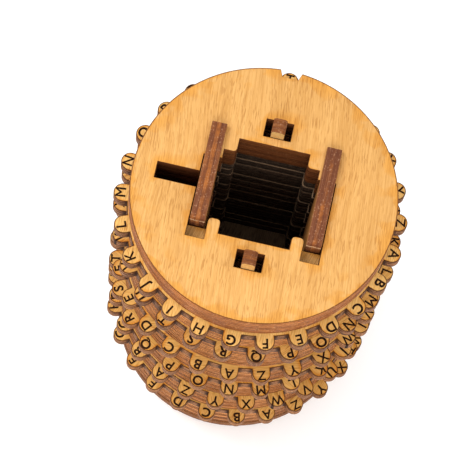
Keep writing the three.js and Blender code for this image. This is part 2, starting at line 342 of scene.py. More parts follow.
scorchLook = {  # noise scales are per millimetre
    "cloudScale": 0.16,
    "cloudRange": (0.38, 0.68),
    "widestCloud": 1.6,
    "leastReach": 0.05,
    "raggedScale": 1.6,
    "ragged": 1.1,
    "leastRagged": 0.45,
    "solidShare": 0.55,  # how much of the burnt line's width is solid before it fades
    "lineStrength": 0.92,
}


# Scorch on a face near a cut, by the distance to it in millimetres: a wide amber glow and a thin burnt line.
def makeScorch():
    inputs = [
        ("Color", "NodeSocketColor", (1, 1, 1, 1)),
        ("Vector", "NodeSocketVector", None),
        ("Distance", "NodeSocketFloat", 1.0),
        ("Glow Reach", "NodeSocketFloat", 2.5),
        ("Glow", "NodeSocketColor", (0.7, 0.4, 0.1, 1)),
        ("Line Width", "NodeSocketFloat", 0.3),
        ("Line", "NodeSocketColor", (0.1, 0.04, 0.02, 1)),
    ]
    group, given, result = newGroup("scorch", inputs, [("Color", "NodeSocketColor")])
    look = scorchLook
    cloudNoise = noise(group, given["Vector"], look["cloudScale"], 3.0)
    cloud = band(group, cloudNoise, *look["cloudRange"], 0.0, look["widestCloud"])
    reach = maths(group, "MULTIPLY_ADD", given["Glow Reach"], cloud, look["leastReach"])
    glow = band(group, given["Distance"], 0.0, reach, 1.0, 0.0)
    glowing = mixColor(group, 1.0, given["Color"], given["Glow"], "MULTIPLY")
    toasted = mixColor(group, glow, given["Color"], glowing)
    raggedNoise = noise(group, given["Vector"], look["raggedScale"], 3.0)
    ragged = maths(group, "MULTIPLY_ADD", raggedNoise, look["ragged"], look["leastRagged"])
    width = maths(group, "MULTIPLY", given["Line Width"], ragged)
    solid = maths(group, "MULTIPLY", width, look["solidShare"])
    burnt = band(group, given["Distance"], solid, width, look["lineStrength"], 0.0)
    group.links.new(mixColor(group, burnt, toasted, given["Line"]), result["Color"])
    return group


# Distance on a flat sheet from a point outside a rectangle to its edge, in millimetres.
def makeBoxGap():
    inputs = [
        ("Vector", "NodeSocketVector", None),
        ("Centre", "NodeSocketVector", (0, 0, 0)),
        ("Half Size", "NodeSocketVector", (1, 1, 0)),
    ]
    group, given, result = newGroup("boxGap", inputs, [("Distance", "NodeSocketFloat")])
    offset = vectorMaths(group, "ABSOLUTE", vectorMaths(group, "SUBTRACT", given["Vector"], given["Centre"]))
    beyond = vectorMaths(group, "MAXIMUM", vectorMaths(group, "SUBTRACT", offset, given["Half Size"]))
    group.links.new(flatLength(group, beyond), result["Distance"])
    return group


def flatLength(tree, vector):
    flat = vectorMaths(tree, "MULTIPLY", vector, (1, 1, 0))
    return addNode(tree, "ShaderNodeVectorMath", {0: flat}, operation="LENGTH").outputs["Value"]


rootSootAndShade = {  # soot and painted shade where a tongue meets its ring, with ranges in millimetres
    "sideRange": (0.2, 1.3),
    "ringRange": (0.2, 1.2),
    "strength": 0.85,
}


# Distance inside a ring of round-ended tongues to the nearest cut, in millimetres, and how much soot and
# painted shade the corner between a tongue and the ring takes, from 0 to 1.
def makeTongueGap():
    inputs = [
        ("Vector", "NodeSocketVector", None),
        ("Turn", "NodeSocketFloat", 0.0),
        ("Tongues", "NodeSocketFloat", 26.0),
        ("Tip Radius", "NodeSocketFloat", 39.0),
        ("Valley Radius", "NodeSocketFloat", 35.3),
        ("Half Width", "NodeSocketFloat", 2.5),
    ]
    outputs = [("Distance", "NodeSocketFloat"), ("Soot and Shade", "NodeSocketFloat")]
    group, given, result = newGroup("tongueGap", inputs, outputs)
    parts = addNode(group, "ShaderNodeSeparateXYZ", {0: given["Vector"]}).outputs
    radius = flatLength(group, given["Vector"])
    angle = maths(group, "SUBTRACT", maths(group, "ARCTAN2", parts[1], parts[0]), given["Turn"])
    share = maths(group, "MULTIPLY", maths(group, "DIVIDE", angle, 2 * math.pi), given["Tongues"])
    nearest = maths(group, "SUBTRACT", share, maths(group, "ROUND", share))
    folded = maths(group, "DIVIDE", maths(group, "MULTIPLY", nearest, 2 * math.pi), given["Tongues"])
    along = maths(group, "MULTIPLY", radius, maths(group, "COSINE", folded))
    aside = maths(group, "ABSOLUTE", maths(group, "MULTIPLY", radius, maths(group, "SINE", folded)))
    tipCentre = maths(group, "SUBTRACT", given["Tip Radius"], given["Half Width"])
    past = maths(group, "MAXIMUM", maths(group, "SUBTRACT", along, tipCentre), 0.0)
    squares = [maths(group, "MULTIPLY", side, side) for side in (past, aside)]
    reach = maths(group, "SQRT", maths(group, "ADD", squares[0], squares[1]))
    inTongue = maths(group, "SUBTRACT", given["Half Width"], reach)
    inRing = maths(group, "SUBTRACT", given["Valley Radius"], radius)
    group.links.new(maths(group, "MAXIMUM", inTongue, inRing), result["Distance"])
    # soot and painted shade in the corner where a tongue's side meets the ring
    fromSide = maths(group, "ABSOLUTE", maths(group, "SUBTRACT", aside, given["Half Width"]))
    nearSide = band(group, fromSide, *rootSootAndShade["sideRange"], 1.0, 0.0)
    beyondRing = maths(group, "SUBTRACT", radius, given["Valley Radius"])
    nearRing = band(group, beyondRing, *rootSootAndShade["ringRange"], 1.0, 0.0)
    root = maths(group, "MULTIPLY", nearSide, nearRing)
    group.links.new(maths(group, "MULTIPLY", root, rootSootAndShade["strength"]), result["Soot and Shade"])
    return group


birchGrain = makeBirchGrain()
cutEdge = makeCutEdge()
scorch = makeScorch()
boxGap = makeBoxGap()
tongueGap = makeTongueGap()


# ------- materials
# Colours are linear. Each sheet carries "across" (0 at one face, 1 at the other), "turn" (its ring's turn in
# radians), "grain" (the grain's angle from +Y in radians) and "shade" (0 for a sooty edge, 1 for a clean
# one), so one material serves every sheet like it.
topFinish = {
    "light": (0.700, 0.385, 0.128),
    "dark": (0.560, 0.280, 0.078),
    "fleck": (0.42, 0.185, 0.046),
    "fleckStrength": 0.7,
    "edgeClean": (0.53, 0.170, 0.036),
    "edgeSmoked": (0.29, 0.085, 0.023),
    "arris": (0.13, 0.042, 0.012),
    # soot patches on the edges; the same colour paints the shade in the cuts and at the tongue roots
    "soot": (0.070, 0.020, 0.006),
    "sootAmount": 0.35,
    "lineStrength": 0.65,
    # pale specks on the edges: scuffs and painted glints
    "scuffGlint": (0.75, 0.40, 0.17),
    "scuffGlintAmount": 0.35,
    "glow": (0.97, 0.83, 0.52),
    "glowReach": 3.2,
    "line": (0.14, 0.048, 0.014),
    "lineWidth": 0.17,
    "blotchScale": 0.45,
    "rough": 0.52,
    "gloss": 0.08,
}
backingFinish = {
    **topFinish,
    "light": (0.92, 0.51, 0.175),
    "dark": (0.60, 0.295, 0.082),
    "fleck": (0.24, 0.10, 0.026),
}
# The base disc and the drawer cap: edges painted darker as shade low on the object.
shadedBaseFinish = {
    **topFinish,
    "edgeClean": (0.235, 0.082, 0.023),
    "edgeSmoked": (0.130, 0.042, 0.014),
    "lineStrength": 0.5,
}
letterFinish = {
    **topFinish,
    "light": (0.74, 0.425, 0.128),
    "dark": (0.54, 0.265, 0.060),
    "fleck": (0.36, 0.13, 0.020),
    "edgeClean": (0.42, 0.175, 0.068),
    "edgeSmoked": (0.22, 0.086, 0.038),
    "arris": (0.045, 0.014, 0.006),
    "soot": (0.030, 0.010, 0.005),
    "sootAmount": 0.5,
    "lineStrength": 0.75,
    "glow": (0.90, 0.64, 0.28),
    "glowReach": 1.0,
    "line": (0.070, 0.022, 0.008),
    "lineWidth": 0.34,
}
# The top ring's letter ply, painted lighter as a lit copy of the rings below.
litUpperLetterFinish = {
    **letterFinish,
    "light": (0.86, 0.53, 0.180),
    "dark": (0.66, 0.345, 0.085),
}
drumFinish = {
    **topFinish,
    "edgeClean": (0.72, 0.270, 0.074),
    "edgeSmoked": (0.40, 0.130, 0.038),
    "arris": (0.055, 0.017, 0.006),
    "soot": (0.055, 0.016, 0.005),
    "sootAmount": 0.35,
    "lineStrength": 1.0,
    "scuffGlintAmount": 0.2,
    "gloss": 0.05,
}
# The core and the drawer stand in the well: their colours are painted near black as shade, their eased edges
# (arris) pale as painted highlights, and their specks are painted glints.
shadedCoreFinish = {
    **topFinish,
    "light": (0.30, 0.19, 0.11),
    "dark": (0.18, 0.11, 0.060),
    "fleck": (0.09, 0.05, 0.03),
    "edgeClean": (0.090, 0.052, 0.032),
    "edgeSmoked": (0.042, 0.025, 0.016),
    "arris": (0.20, 0.125, 0.075),
    "soot": (0.016, 0.010, 0.007),
    "sootAmount": 0.7,
    "scuffGlint": (0.55, 0.42, 0.30),
    "scuffGlintAmount": 0.12,
}
plateFinish = {
    **topFinish,
    "light": (0.44, 0.200, 0.064),
    "dark": (0.29, 0.115, 0.030),
    "edgeClean": (0.37, 0.118, 0.025),
    "edgeSmoked": (0.160, 0.052, 0.022),
    "arris": (0.21, 0.080, 0.030),
    "soot": (0.090, 0.028, 0.016),
    "sootAmount": 0.35,
    "lineStrength": 0.35,
    # the bars' pale specks: scuffs and painted glints
    "scuffGlint": (0.50, 0.27, 0.15),
    "scuffGlintAmount": 0.42,
    "chipGlint": (0.62, 0.36, 0.19),
    "blotchScale": 0.16,
}
tieFinish = {
    **plateFinish,
    "edgeClean": (0.22, 0.070, 0.017),
    "edgeSmoked": (0.095, 0.031, 0.019),
    "light": (0.64, 0.39, 0.140),
    "dark": (0.50, 0.26, 0.075),
}


surface = {
    "faceRange": (0.490, 0.499),  # where a sheet's face starts, as a share of its thickness from the middle
    "roughShifts": (-0.06, 0.12),
    "edgeRougher": 0.12,
    "bump": 0.35,
    "bumpDepth": 0.12 * mm,
}


def gapOfTongues(tree, vector):
    ring = tongues["ring"]
    return useGroup(tree, tongueGap, {
        "Vector": vector,
        "Turn": attribute(tree, "turn"),
        "Tongues": float(tongues["count"]),
        "Tip Radius": ring["tip"] / mm,
        "Valley Radius": ring["valley"] / mm,
        "Half Width": tongues["width"] / 2 / mm,
    })


def gapOfCuts(boxes, rimRadius):
    def measure(tree, vector):
        toRim = maths(tree, "SUBTRACT", rimRadius, flatLength(tree, vector))
        nearest = maths(tree, "MULTIPLY", toRim, cuts["rimBurn"])
        for low, high in boxes:
            inputs = {
                "Vector": vector,
                "Centre": (*((low + high) / 2 / mm), 0),
                "Half Size": (*((high - low) / 2 / mm), 0),
            }
            nearest = maths(tree, "MINIMUM", nearest, useGroup(tree, boxGap, inputs)["Distance"])
        # The walls of the cuts inside the rim take painted shade in the soot colour, near black in the rail's
        # slot.
        rimRange = [rimRadius - margin for margin in cuts["rimMargins"]]
        inside = band(tree, flatLength(tree, vector), *rimRange, 1.0, 0.0)
        aside = addNode(tree, "ShaderNodeSeparateXYZ", {0: vector}).outputs["X"]
        slotRange = (cuts["railSlot"] - cuts["slotFade"], cuts["railSlot"])
        inRailSlot = band(tree, aside, *slotRange, cuts["railSlotShade"], cuts["insideShade"])
        return {"Distance": nearest, "Soot and Shade": maths(tree, "MULTIPLY", inside, inRailSlot)}

    return measure


def sheetMaterial(name, finish, measureGap=None, chippedGlint=None):
    material = bpy.data.materials.new(name)
    material.use_nodes = True
    tree = material.node_tree
    shader = tree.nodes["Principled BSDF"]
    place = addNode(tree, "ShaderNodeTexCoord").outputs["Object"]
    vector = vectorMaths(tree, "MULTIPLY", place, (1 / mm, 1 / mm, 1 / mm))
    across = attribute(tree, "across")
    turning = {"Vector": vector, "Angle": attribute(tree, "grain")}
    turned = addNode(tree, "ShaderNodeVectorRotate", turning, rotation_type="Z_AXIS").outputs[0]
    grain = useGroup(tree, birchGrain, {
        "Vector": turned,
        "Light": (*finish["light"], 1),
        "Dark": (*finish["dark"], 1),
        "Fleck": (*finish["fleck"], 1),
        "Fleck Strength": finish["fleckStrength"],
    })
    face = grain["Color"]
    edge = useGroup(tree, cutEdge, {
        "Vector": vector,
        "Across": across,
        "Shade": attribute(tree, "shade"),
        "Clean": (*finish["edgeClean"], 1),
        "Smoked": (*finish["edgeSmoked"], 1),
        "Arris": (*finish["arris"], 1),
        "Soot": (*finish["soot"], 1),
        "Soot Amount": finish["sootAmount"],
        "Line Strength": finish["lineStrength"],
        "Scuff Glint": (*finish["scuffGlint"], 1),
        "Scuff Glint Amount": finish["scuffGlintAmount"],
        "Blotch Scale": finish["blotchScale"],
    })
    side = edge["Color"]
    # pale chips and a painted glint across the plates' near ends
    if chippedGlint:
        side = mixColor(tree, chippedGlint(tree, vector), side, finish["chipGlint"])
    if measureGap:
        gap = measureGap(tree, vector)
        face = useGroup(tree, scorch, {
            "Color": face,
            "Vector": vector,
            "Distance": gap["Distance"],
            "Glow Reach": finish["glowReach"],
            "Glow": (*finish["glow"], 1),
            "Line Width": finish["lineWidth"],
            "Line": (*finish["line"], 1),
        })["Color"]
        # painted shade on the walls of the cuts, and soot with painted shade at the tongue roots, in the soot
        # colour
        side = mixColor(tree, gap["Soot and Shade"], side, finish["soot"])
    fromMiddle = maths(tree, "ABSOLUTE", maths(tree, "SUBTRACT", across, 0.5))
    onFace = band(tree, fromMiddle, *surface["faceRange"])
    tree.links.new(mixColor(tree, onFace, side, face), shader.inputs["Base Color"])
    roughRange = [finish["rough"] + shift for shift in surface["roughShifts"]]
    rough = band(tree, grain["Height"], 0.0, 1.0, *roughRange)
    rougher = maths(tree, "ADD", rough, surface["edgeRougher"])
    edgeRough = maths(tree, "MULTIPLY_ADD", onFace, -surface["edgeRougher"], rougher)
    tree.links.new(edgeRough, shader.inputs["Roughness"])
    shader.inputs["Specular IOR Level"].default_value = finish["gloss"]
    height = addNode(tree, "ShaderNodeMix", {0: onFace, 2: edge["Height"], 3: grain["Height"]}).outputs[0]
    relief = {"Height": height, "Strength": surface["bump"], "Distance": surface["bumpDepth"]}
    bump = addNode(tree, "ShaderNodeBump", relief)
    tree.links.new(bump.outputs["Normal"], shader.inputs["Normal"])
    return material


chips = {  # lengths are in millimetres and noise scales per millimetre
    "waveScale": 1.7,
    "wave": 2.2,
    "drop": 1.15,
    "widthScale": 2.9,
    "width": 1.1,
    "widthOffset": -0.2,
    "solidShare": 0.6,
    "depthRange": (1.1, 1.3),
}


def chippedGlintEnd(front, level):
    # Pale chips and a painted glint across the near end of a plate that stands along Y, where it goes into
    # the disc.
    def measure(tree, vector):
        parts = addNode(tree, "ShaderNodeSeparateXYZ", {0: vector}).outputs
        wave = noise(tree, vector, chips["waveScale"], 3.0, 0.7)
        height = maths(tree, "MULTIPLY_ADD", wave, chips["wave"], level - chips["drop"])
        offLevel = maths(tree, "ABSOLUTE", maths(tree, "SUBTRACT", parts["Z"], height))
        ragged = noise(tree, vector, chips["widthScale"], 1.0)
        width = maths(tree, "MULTIPLY_ADD", ragged, chips["width"], chips["widthOffset"])
        solid = maths(tree, "MULTIPLY", width, chips["solidShare"])
        chipGlint = band(tree, offLevel, solid, width, 1.0, 0.0)
        nearRange = [front + depth for depth in chips["depthRange"]]
        return maths(tree, "MULTIPLY", chipGlint, band(tree, parts["Y"], *nearRange, 1.0, 0.0))

    return measure


burntFinish = {
    "dark": (0.012, 0.005, 0.003),
    "light": (0.050, 0.018, 0.008),
    "ashScale": 2600.0,  # per metre
    "ashRange": (0.35, 0.75),
    "rough": 0.85,
    "gloss": 0.1,
    "bump": 0.4,
    "bumpDepth": 0.1 * mm,
}


def burntMaterial():
    material = bpy.data.materials.new("burntLetter")
    material.use_nodes = True
    tree = material.node_tree
    shader = tree.nodes["Principled BSDF"]
    place = addNode(tree, "ShaderNodeTexCoord").outputs["Object"]
    finish = burntFinish
    ash = noise(tree, place, finish["ashScale"], 3.0, 0.6)
    color = mixColor(tree, band(tree, ash, *finish["ashRange"]), finish["dark"], finish["light"])
    tree.links.new(color, shader.inputs["Base Color"])
    shader.inputs["Roughness"].default_value = finish["rough"]
    shader.inputs["Specular IOR Level"].default_value = finish["gloss"]
    relief = {"Height": ash, "Strength": finish["bump"], "Distance": finish["bumpDepth"]}
    bump = addNode(tree, "ShaderNodeBump", relief)
    tree.links.new(bump.outputs["Normal"], shader.inputs["Normal"])
    return material


# ------- sheets: each CAD sheet's outline, with its round stretches made smooth and its edges eased
sheets = {
    "ply": 4 * mm,
    "ease": 0.14 * mm,  # how far the laser rounds an edge
    "stackGap": 0.05 * mm,
    "stackShift": 0.18 * mm,  # how far one ply of a stack may stand off its neighbours
    "arcStep": math.radians(3),
    "flatWithin": 1e-5,
    "upward": 0.9,  # a face whose normal rises more than this is the sheet's upper face
    "mitre": 0.3,  # a sharp corner moves no further than the inset over this
    "sharpAngle": math.radians(32),
}
turns = {  # how a sheet's own plane lies in the object, by the axis across it
    "Z": Matrix(((1, 0, 0), (0, 1, 0), (0, 0, 1))),
    "X": Matrix(((0, 0, 1), (1, 0, 0), (0, 1, 0))),
    "Y": Matrix(((1, 0, 0), (0, 0, -1), (0, 1, 0))),
}


def rimLoops(mesh, turn):
    # Outlines of a sheet's upper face as lists of points, wood on the left, with the sheet's two levels.
    bm = bmesh.new()
    bm.from_mesh(mesh)
    bm.transform(turn.transposed().to_4x4())
    bmesh.ops.remove_doubles(bm, verts=bm.verts, dist=1e-6)
    bm.normal_update()
    levels = [vert.co.z for vert in bm.verts]
    following = {}
    for face in bm.faces:
        if face.normal.z < sheets["upward"]:
            continue
        for corner in face.loops:
            if corner.link_loop_radial_next.face.normal.z < sheets["upward"]:
                following[corner.vert.index] = corner.link_loop_next.vert.index
    places = [vert.co.xy.copy() for vert in bm.verts]
    bm.free()
    loops = []
    while following:
        start, here = following.popitem()
        loop = [places[start]]
        while here != start:
            loop.append(places[here])
            here = following.pop(here)
        if len(loop) > 3:  # three points are a sliver, not an outline
            loops.append(loop)
    loops.sort(key=lambda loop: -max(point.length for point in loop))
    return loops, min(levels), max(levels)


def smoothArcs(loop):
    # Points go in between neighbours that lie on one circle round the axis.
    radii = [point.length for point in loop]
    count = len(loop)
    smooth = []
    for i, point in enumerate(loop):
        smooth.append(point)
        ahead = (i + 1) % count
        same = [abs(radii[(i + step) % count] - radii[i]) < sheets["flatWithin"] for step in (-1, 1, 2)]
        if not same[1] or not (same[0] or same[2]):
            continue
        sweep = point.angle_signed(loop[ahead])
        parts = math.ceil(abs(sweep) / sheets["arcStep"])
        start = math.atan2(point.y, point.x)
        for part in range(1, parts):
            angle = start - sweep * part / parts
            smooth.append(Vector((math.cos(angle), math.sin(angle))) * radii[i])
    return smooth


def insetLoop(loop, distance):
    # Moves every side of an outline into the wood, which lies on its left.
    moved = []
    count = len(loop)
    for i, point in enumerate(loop):
        before = (point - loop[i - 1]).normalized()
        after = (loop[(i + 1) % count] - point).normalized()
        sides = [Vector((-way.y, way.x)) for way in (before, after)]
        middle = (sides[0] + sides[1]).normalized()
        moved.append(point + middle * (distance / max(sheets["mitre"], middle.dot(sides[1]))))
    return moved


def addPrism(bm, loops, low, high, shift=(0.0, 0.0)):
    # Adds a closed sheet with eased edges; the first loop runs anticlockwise and the holes clockwise.
    ease = sheets["ease"]
    across = bm.verts.layers.float["across"]
    steps = [(ease, 0.0), (0.3 * ease, 0.3 * ease), (0.0, ease)]
    profile = [(inset, low + rise) for inset, rise in steps]
    profile += [(inset, high - rise) for inset, rise in reversed(steps)]
    ends = []
    for loop in loops:
        levels = []
        for inset, z in profile:
            points = insetLoop(loop, inset)
            level = [bm.verts.new((point.x + shift[0], point.y + shift[1], z)) for point in points]
            for vert in level:
                vert[across] = (z - low) / (high - low)
            levels.append(level)
        for lower, upper in zip(levels, levels[1:]):
            for i in range(len(loop)):
                ahead = (i + 1) % len(loop)
                bm.faces.new((lower[i], lower[ahead], upper[ahead], upper[i]))
        ends.append((levels[0], levels[-1]))
    for side in (0, 1):
        rims = [end[side] for end in ends]
        corners = [vert for rim in rims for vert in rim]
        for triangle in tessellate_polygon([[vert.co for vert in rim] for rim in rims]):
            bm.faces.new([corners[i] for i in triangle])


def prismMesh(name, loops, low, high, turn):
    # One sheet, or a glued stack of plies where the solid is thicker than one.
    bm = bmesh.new()
    bm.verts.layers.float.new("across")
    plies = max(1, round((high - low) / sheets["ply"]))
    height = (high - low - (plies - 1) * sheets["stackGap"]) / plies
    for ply in range(plies):
        floor = low + ply * (height + sheets["stackGap"])
        swing = sheets["stackShift"] if plies > 1 else 0.0
        shift = (swing * math.sin(7 * floor / mm), swing * math.cos(5 * floor / mm))
        addPrism(bm, loops, floor, floor + height, shift)
    bmesh.ops.recalc_face_normals(bm, faces=bm.faces)
    bm.transform(turn.to_4x4())
    mesh = bpy.data.meshes.new(name)
    bm.to_mesh(mesh)
    bm.free()
    return mesh


def newPiece(name, mesh, materials):
    mesh.name = name
    mesh.materials.clear()
    for material in materials:
        mesh.materials.append(material)
    mesh.shade_smooth()
    mesh.set_sharp_from_angle(angle=sheets["sharpAngle"])
    piece = bpy.data.objects.new(name, mesh)
    bpy.context.collection.objects.link(piece)
    return piece


def markSheet(mesh, ringTurn, grain, shade):
    # Writes the ring's turn, the grain's angle and the edge's shade on every point.
    for name, value in (("turn", ringTurn), ("grain", grain), ("shade", shade)):
        layer = mesh.attributes.new(name, "FLOAT", "POINT")
        layer.data.foreach_set("value", [value] * len(mesh.vertices))


def bodyOf(node):
    bodies = frame["record"]["behaviour"]["bodies"]
    return next(body for body, members in bodies.items() if node in members)


def standFor(piece, node):
    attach(piece, bodyOf(node))
    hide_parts(node)


def shadeOf(node):
    # A steady value from 0 to 1 for each sheet, so that stacked edges differ.
    low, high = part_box(node)
    return (math.sin(1.9 * high.z / mm + 11 * low.x) + 1) / 2


def makeSheet(node, axis, material, grain=0.0, ringTurn=0.0):
    turn = turns[axis]
    loops, low, high = rimLoops(frame["nodes"][node].data, turn)
    outlines = [smoothArcs(loop) for loop in loops] if axis == "Z" else loops
    mesh = prismMesh(node, outlines, low, high, turn)
    markSheet(mesh, ringTurn, grain, shadeOf(node))
    piece = newPiece("cut_" + node, mesh, [material])
    standFor(piece, node)
    return piece


# ------- geometry node trees
def newTree(name, inputs):
    tree = bpy.data.node_groups.new(name, "GeometryNodeTree")
    tree.is_modifier = True
    for label, kind in inputs:
        tree.interface.new_socket(label, in_out="INPUT", socket_type=kind)
    tree.interface.new_socket("Geometry", in_out="OUTPUT", socket_type="NodeSocketGeometry")
    return tree, tree.nodes.new("NodeGroupInput").outputs, tree.nodes.new("NodeGroupOutput").inputs


def link(tree, outputs, socket):
    for output in outputs if isinstance(outputs, list) else [outputs]:
        tree.links.new(output, socket)


def mergeNear(tree, geometry, distance):
    inputs = {"Geometry": geometry, "Distance": distance}
    return addNode(tree, "GeometryNodeMergeByDistance", inputs).outputs["Geometry"]


def thicken(tree, curve, rise):
    # Fills a flat curve and closes it into a solid that rises from the ground by the given height.
    filled = addNode(tree, "GeometryNodeFillCurve", {"Curve": curve}).outputs["Mesh"]
    flat = mergeNear(tree, filled, 1e-5)
    way = addNode(tree, "ShaderNodeCombineXYZ", {"Z": rise}).outputs[0]
    raised = addNode(tree, "GeometryNodeExtrudeMesh", {"Mesh": flat, "Offset": way, "Individual": False})
    under = addNode(tree, "GeometryNodeFlipFaces", {"Mesh": flat}).outputs["Mesh"]
    joined = addNode(tree, "GeometryNodeJoinGeometry")
    link(tree, [raised.outputs["Mesh"], under], joined.inputs["Geometry"])
    return mergeNear(tree, joined.outputs["Geometry"], 1e-6)


def moveBy(tree, geometry, axis, distance):
    shift = addNode(tree, "ShaderNodeCombineXYZ", {axis: distance}).outputs[0]
    inputs = {"Geometry": geometry, "Translation": shift}
    return addNode(tree, "GeometryNodeTransform", inputs).outputs["Geometry"]


def spread(tree, curve, distance):
    # Moves flat closed outlines outwards and their holes inwards, which makes letters bolder.
    poly = addNode(tree, "GeometryNodeResampleCurve", {"Curve": curve}, mode="EVALUATED").outputs["Curve"]
    tangent = tree.nodes.new("GeometryNodeInputTangent").outputs[0]
    outward = vectorMaths(tree, "CROSS_PRODUCT", tangent, (0, 0, 1))
    inputs = {0: outward, "Scale": distance}
    scaled = addNode(tree, "ShaderNodeVectorMath", inputs, operation="SCALE").outputs[0]
    return addNode(tree, "GeometryNodeSetPosition", {"Geometry": poly, "Offset": scaled}).outputs["Geometry"]


def finishTree(tree, geometry, material, result):
    solid = addNode(tree, "GeometryNodeRealizeInstances", {"Geometry": geometry}).outputs["Geometry"]
    painted = addNode(tree, "GeometryNodeSetMaterial", {"Geometry": solid, "Material": material})
    link(tree, painted.outputs["Geometry"], result["Geometry"])


def makeTongueTree():
    tree, given, result = newTree("tonguePly", [
        ("Tongues", "NodeSocketInt"),
        ("Tip Radius", "NodeSocketFloat"),
        ("Valley Radius", "NodeSocketFloat"),
        ("Bore Radius", "NodeSocketFloat"),
        ("Tongue Width", "NodeSocketFloat"),
        ("Low", "NodeSocketFloat"),
        ("Thickness", "NodeSocketFloat"),
        ("Start", "NodeSocketFloat"),
        ("Material", "NodeSocketMaterial"),
    ])
    circles = []
    for radius in ("Valley Radius", "Bore Radius"):
        inputs = {"Resolution": tongues["rimFacets"], "Radius": given[radius]}
        circles.append(addNode(tree, "GeometryNodeCurvePrimitiveCircle", inputs).outputs["Curve"])
    rims = addNode(tree, "GeometryNodeJoinGeometry")
    link(tree, circles, rims.inputs["Geometry"])
    ring = thicken(tree, rims.outputs["Geometry"], given["Thickness"])

    length = maths(tree, "SUBTRACT", given["Tip Radius"], given["Bore Radius"])
    length = maths(tree, "SUBTRACT", length, tongues["rootWall"])
    outline = addNode(
        tree,
        "GeometryNodeCurvePrimitiveQuadrilateral",
        {"Width": length, "Height": given["Tongue Width"]},
    ).outputs["Curve"]
    half = maths(tree, "MULTIPLY", given["Tongue Width"], tongues["tipShare"])
    fillet = {"Curve": outline, "Count": tongues["tipFacets"], "Radius": half, "Limit Radius": True}
    rounded = addNode(tree, "GeometryNodeFilletCurve", fillet, mode="POLY").outputs["Curve"]
    out = maths(tree, "SUBTRACT", given["Tip Radius"], maths(tree, "MULTIPLY", length, 0.5))
    tongue = thicken(tree, moveBy(tree, rounded, "X", out), given["Thickness"])

    points = addNode(tree, "GeometryNodePoints", {"Count": given["Tongues"]}).outputs[0]
    index = tree.nodes.new("GeometryNodeInputIndex").outputs[0]
    share = maths(tree, "DIVIDE", index, given["Tongues"])
    angle = maths(tree, "MULTIPLY_ADD", share, 2 * math.pi, given["Start"])
    spin = addNode(tree, "ShaderNodeCombineXYZ", {"Z": angle}).outputs[0]
    rotation = addNode(tree, "FunctionNodeEulerToRotation", {"Euler": spin}).outputs["Rotation"]
    placed = addNode(tree, "GeometryNodeInstanceOnPoints", {
        "Points": points,
        "Instance": tongue,
        "Rotation": rotation,
    }).outputs["Instances"]
    fan = addNode(tree, "GeometryNodeRealizeInstances", {"Geometry": placed}).outputs["Geometry"]
    union = addNode(tree, "GeometryNodeMeshBoolean", operation="UNION", solver="MANIFOLD")
    link(tree, [ring, fan], union.inputs["Mesh 2"])
    lifted = moveBy(tree, union.outputs["Mesh"], "Z", given["Low"])
    finishTree(tree, lifted, given["Material"], result)
    return tree


def makeLetterTree():
    tree, given, result = newTree("letterRow", [
        ("Letters", "NodeSocketString"),
        ("Letter Size", "NodeSocketFloat"),
        ("Row Radius", "NodeSocketFloat"),
        ("First Angle", "NodeSocketFloat"),
        ("Floor", "NodeSocketFloat"),
        ("Height", "NodeSocketFloat"),
        ("Boldness", "NodeSocketFloat"),
        ("Material", "NodeSocketMaterial"),
    ])
    inputs = {"String": given["Letters"], "Size": given["Letter Size"]}
    words = addNode(tree, "GeometryNodeStringToCurves", inputs, pivot_mode="MIDPOINT")
    index = tree.nodes.new("GeometryNodeInputIndex").outputs[0]
    step = 2 * math.pi / tongues["count"]
    angle = maths(tree, "SUBTRACT", given["First Angle"], maths(tree, "MULTIPLY", index, step))
    lean = maths(tree, "SUBTRACT", angle, math.pi / 2)
    ways = [maths(tree, way, angle) for way in ("COSINE", "SINE")]
    reach = [maths(tree, "MULTIPLY", given["Row Radius"], way) for way in ways]
    seat = addNode(tree, "ShaderNodeCombineXYZ", {"X": reach[0], "Y": reach[1]}).outputs[0]
    spin = addNode(tree, "ShaderNodeCombineXYZ", {"Z": lean}).outputs[0]
    rotation = addNode(tree, "FunctionNodeEulerToRotation", {"Euler": spin}).outputs["Rotation"]
    pivot = addNode(tree, "FunctionNodeRotateVector", {
        "Vector": words.outputs["Pivot Point"],
        "Rotation": rotation,
    })
    place = vectorMaths(tree, "SUBTRACT", seat, pivot.outputs["Vector"])
    seated = addNode(tree, "GeometryNodeSetPosition", {
        "Geometry": words.outputs["Curve Instances"],
        "Position": place,
    })
    turned = addNode(tree, "GeometryNodeRotateInstances", {
        "Instances": seated.outputs["Geometry"],
        "Rotation": rotation,
        "Local Space": True,
    })
    plain = {"Geometry": turned.outputs["Instances"]}
    outlines = addNode(tree, "GeometryNodeRealizeInstances", plain).outputs["Geometry"]
    curves = spread(tree, outlines, given["Boldness"])
    solids = moveBy(tree, thicken(tree, curves, given["Height"]), "Z", given["Floor"])
    finishTree(tree, solids, given["Material"], result)
    return tree


def growMesh(name, tree, values):
    # Runs a tree on an empty object with its inputs set, and returns the plain mesh that it makes.
    holder = bpy.data.objects.new(name, bpy.data.meshes.new(name))
    bpy.context.collection.objects.link(holder)
    modifier = holder.modifiers.new(name, "NODES")
    modifier.node_group = tree
    for item in tree.interface.items_tree:
        if item.in_out == "INPUT" and item.name in values:
            modifier[item.identifier] = values[item.name]
    depsgraph = bpy.context.evaluated_depsgraph_get()
    mesh = bpy.data.meshes.new_from_object(holder.evaluated_get(depsgraph), depsgraph=depsgraph)
    bpy.data.objects.remove(holder)
    return mesh


